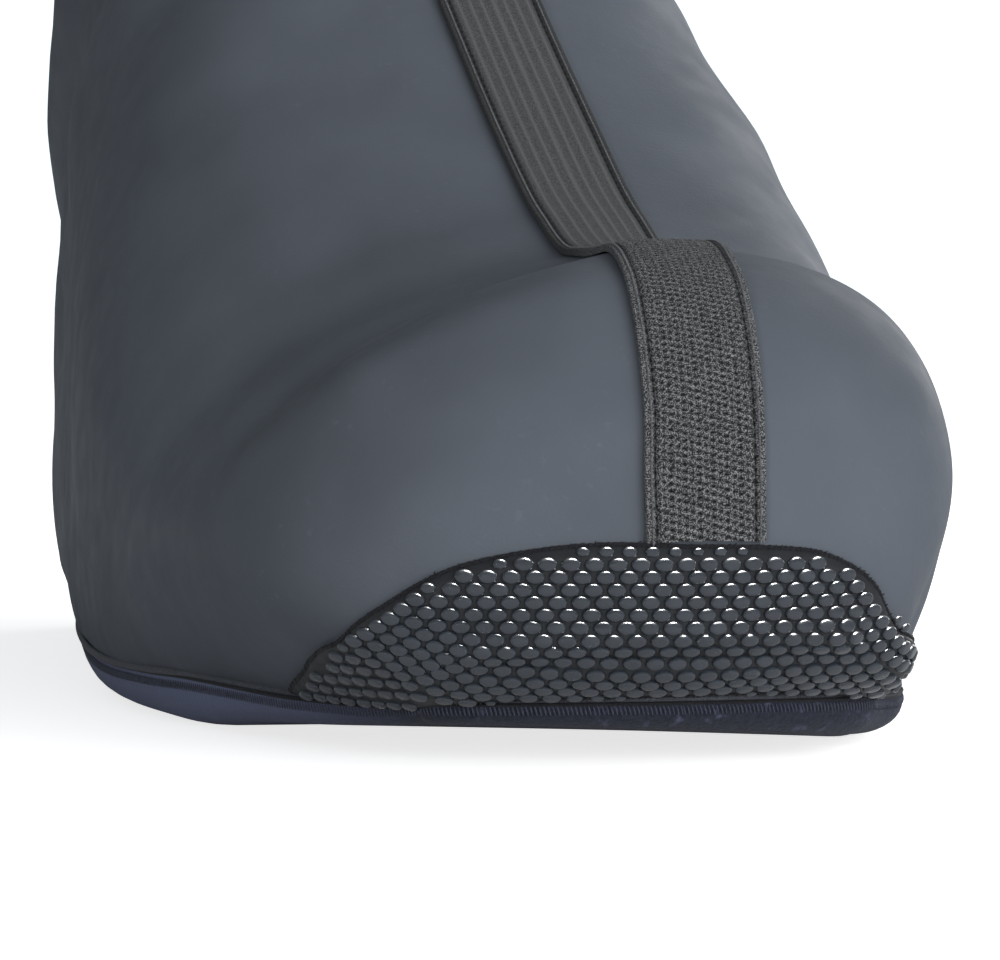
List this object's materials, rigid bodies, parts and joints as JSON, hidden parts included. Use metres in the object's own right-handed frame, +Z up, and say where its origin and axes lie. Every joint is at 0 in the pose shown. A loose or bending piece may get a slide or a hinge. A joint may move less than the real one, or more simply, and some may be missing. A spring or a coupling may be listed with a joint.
{
  "type": "cycling overshoe",
  "caption": "Weatherproof overshoe bootie that pulls over a cycling shoe, with a dotted toe cap, an elastic front strip and a sole panel open at cleat and heel",
  "frame": {"origin": "on the floor, under the middle of the overshoe's length and width", "axes": "+Z up, -Y towards the toe, +X towards the medial side of the right foot"},
  "size_m": [0.1204, 0.2901, 0.202],
  "materials": {
    "coated_fabric": "satin coated",
    "dotted_rubber": "raised dots",
    "elastic_webbing": "ribbed matte",
    "navy_sole_fabric": "felted matte"
  },
  "bodies": {
    "root": {"upper": "coated_fabric", "toe_cap": "dotted_rubber", "front_strip": "elastic_webbing", "sole_panel": "navy_sole_fabric"}
  },
  "joints": []
}
